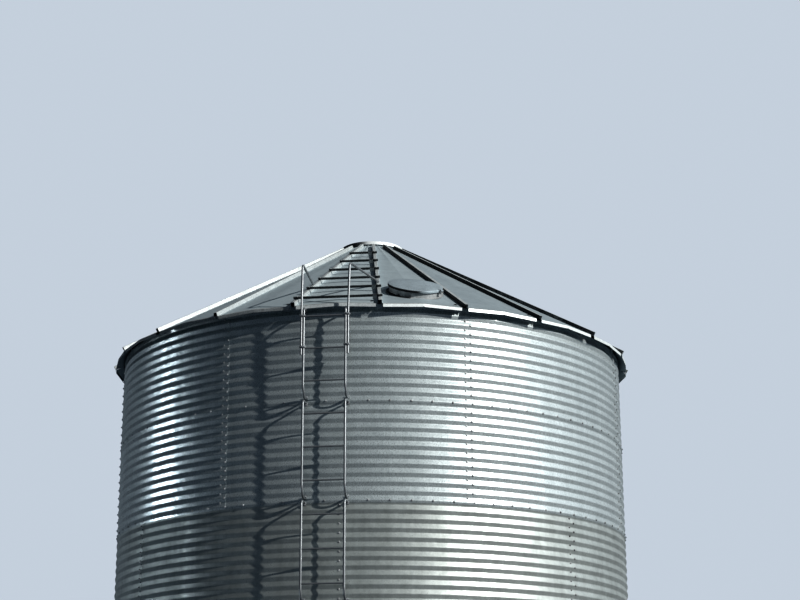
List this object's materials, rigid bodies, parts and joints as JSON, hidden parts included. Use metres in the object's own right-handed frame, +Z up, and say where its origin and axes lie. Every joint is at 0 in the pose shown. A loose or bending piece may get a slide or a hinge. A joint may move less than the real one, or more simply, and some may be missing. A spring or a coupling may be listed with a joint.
{
  "type": "grain silo",
  "caption": "Round corrugated steel grain silo with a ribbed cone roof, wall ladder with handrails, roof ladder, hinged roof hatch and hinged peak lid.",
  "frame": {"origin": "middle of the floor's underside, on the bin's own axis, at ground level", "axes": "+Z up along the bin's axis, -Y towards the ladder panel of the roof, +X to the right seen from there"},
  "size_m": [6.6768, 6.7478, 8.433],
  "materials": {
    "galvanised_wall": "weathered hot-dip galvanised sheet with faint spangle, rain streaks and dull lower rings",
    "galvanised_roof": "weathered galvanised roof sheet, satin grey",
    "galvanised_fittings": "galvanised tube, angle and pressed fittings, dull"
  },
  "bodies": {
    "bin": {"floor": "galvanised_wall", "base_angle": "galvanised_fittings", "wall_ring_1": "galvanised_wall", "wall_ring_2": "galvanised_wall", "wall_ring_3": "galvanised_wall", "wall_ring_4": "galvanised_wall", "wall_ring_5": "galvanised_wall", "wall_ring_6": "galvanised_wall", "roof_panel_01": "galvanised_roof", "roof_panel_02": "galvanised_roof", "roof_panel_03": "galvanised_roof", "roof_panel_04": "galvanised_roof", "roof_panel_05": "galvanised_roof", "roof_panel_06": "galvanised_roof", "roof_panel_07": "galvanised_roof", "roof_panel_08": "galvanised_roof", "roof_panel_09": "galvanised_roof", "roof_panel_10": "galvanised_roof", "roof_panel_11": "galvanised_roof", "roof_panel_12": "galvanised_roof", "roof_panel_13": "galvanised_roof", "roof_panel_14": "galvanised_roof", "roof_panel_15": "galvanised_roof", "roof_panel_16": "galvanised_roof", "roof_panel_17": "galvanised_roof", "roof_panel_18": "galvanised_roof", "roof_panel_19": "galvanised_roof", "roof_panel_20": "galvanised_roof", "roof_panel_21": "galvanised_roof", "peak_ring": "galvanised_roof", "hatch_collar": "galvanised_fittings", "wall_ladder_1": "galvanised_fittings", "wall_ladder_2": "galvanised_fittings", "wall_ladder_3": "galvanised_fittings", "wall_ladder_4": "galvanised_fittings", "wall_ladder_5": "galvanised_fittings", "wall_ladder_6": "galvanised_fittings", "handrail_left": "galvanised_fittings", "handrail_right": "galvanised_fittings", "roof_rung_1": "galvanised_fittings", "roof_rung_2": "galvanised_fittings", "roof_rung_3": "galvanised_fittings", "roof_rung_4": "galvanised_fittings", "roof_rung_5": "galvanised_fittings", "roof_rung_6": "galvanised_fittings"},
    "hatch_lid": {"hatch_lid": "galvanised_fittings"},
    "peak_lid": {"peak_lid": "galvanised_fittings"}
  },
  "joints": [
    {"name": "hatch_hinge", "type": "hinge", "parent": "bin", "child": "hatch_lid", "pos_m": [1.15155, -2.80004, 6.94582], "axis": [0.3552, 0.8428, 0.4045], "range_deg": [0, 110]},
    {"name": "peak_hinge", "type": "hinge", "parent": "bin", "child": "peak_lid", "pos_m": [0.06632, 0.44003, 8.398], "axis": [-0.9888, 0.149, 0], "range_deg": [0, 100]}
  ]
}
